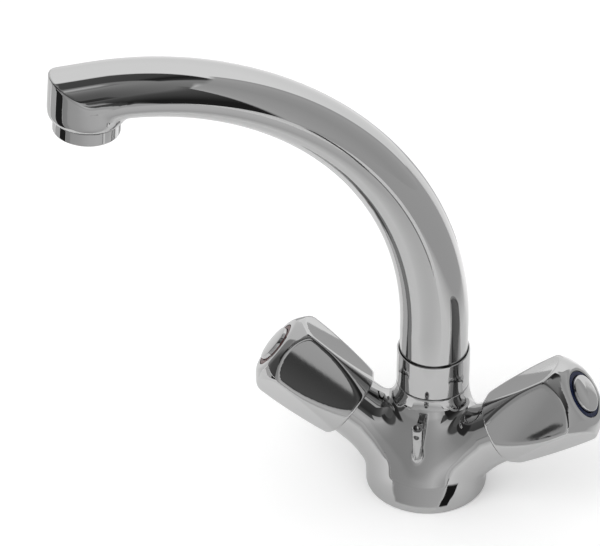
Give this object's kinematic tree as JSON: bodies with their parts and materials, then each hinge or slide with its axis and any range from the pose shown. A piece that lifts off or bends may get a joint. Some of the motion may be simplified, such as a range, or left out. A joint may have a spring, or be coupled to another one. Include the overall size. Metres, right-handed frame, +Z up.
{
  "type": "basin mixer tap",
  "caption": "One-hole chrome basin mixer with a bell-shaped body, raised side arms with faceted handles, and a high curved spout that swivels above its collar.",
  "frame": {"origin": "centre of the base's underside, on the basin's deck", "axes": "+Z up, -Y towards the user, +X towards the cold handle on the user's right; the handle arms rise in the plane y = 0 and the spout turns about the line x = 0, y = 0.0083"},
  "size_m": [0.2005, 0.1017, 0.2136],
  "materials": {
    "chrome": "polished chrome plate on cast and turned brass",
    "brass": "bare machined brass",
    "steel": "plain stainless steel",
    "rubber": "black nitrile rubber",
    "white_plastic": "natural white moulded plastic",
    "ceramic": "lapped off-white ceramic",
    "hot_red": "dark red moulded plastic",
    "cold_blue": "navy blue moulded plastic"
  },
  "bodies": {
    "base": {"body": "chrome", "base_seal": "rubber", "spout_collar": "chrome", "spout_glide_ring": "white_plastic", "hot_valve_body": "brass", "hot_fixed_disc": "ceramic", "hot_seat_seal": "rubber", "cold_valve_body": "brass", "cold_fixed_disc": "ceramic", "cold_seat_seal": "rubber"},
    "spout_arm": {"spout": "chrome", "spout_retaining_ring": "brass", "spout_o_ring_lower": "rubber", "spout_o_ring_upper": "rubber", "aerator_housing": "chrome", "aerator_insert": "white_plastic", "aerator_washer": "rubber"},
    "hot_knob": {"hot_handle": "chrome", "hot_index_ring": "hot_red", "hot_index_cap": "chrome", "hot_handle_screw": "steel", "hot_valve_spindle": "brass", "hot_spindle_o_ring": "rubber", "hot_spindle_circlip": "steel", "hot_moving_disc": "ceramic"},
    "cold_knob": {"cold_handle": "chrome", "cold_index_ring": "cold_blue", "cold_index_cap": "chrome", "cold_handle_screw": "steel", "cold_valve_spindle": "brass", "cold_spindle_o_ring": "rubber", "cold_spindle_circlip": "steel", "cold_moving_disc": "ceramic"}
  },
  "joints": [
    {"name": "spout_swivel", "type": "hinge", "parent": "base", "child": "spout_arm", "pos_m": [0, 0.0083, 0.0587], "axis": [0, 0, 1], "continuous": true},
    {"name": "hot_turn", "type": "hinge", "parent": "base", "child": "hot_knob", "pos_m": [0, 0, 0.0081], "axis": [-0.8049, 0, 0.5934], "range_deg": [0, 90]},
    {"name": "cold_turn", "type": "hinge", "parent": "base", "child": "cold_knob", "pos_m": [0, 0, 0.0081], "axis": [0.8049, 0, 0.5934], "range_deg": [-90, 0]}
  ]
}
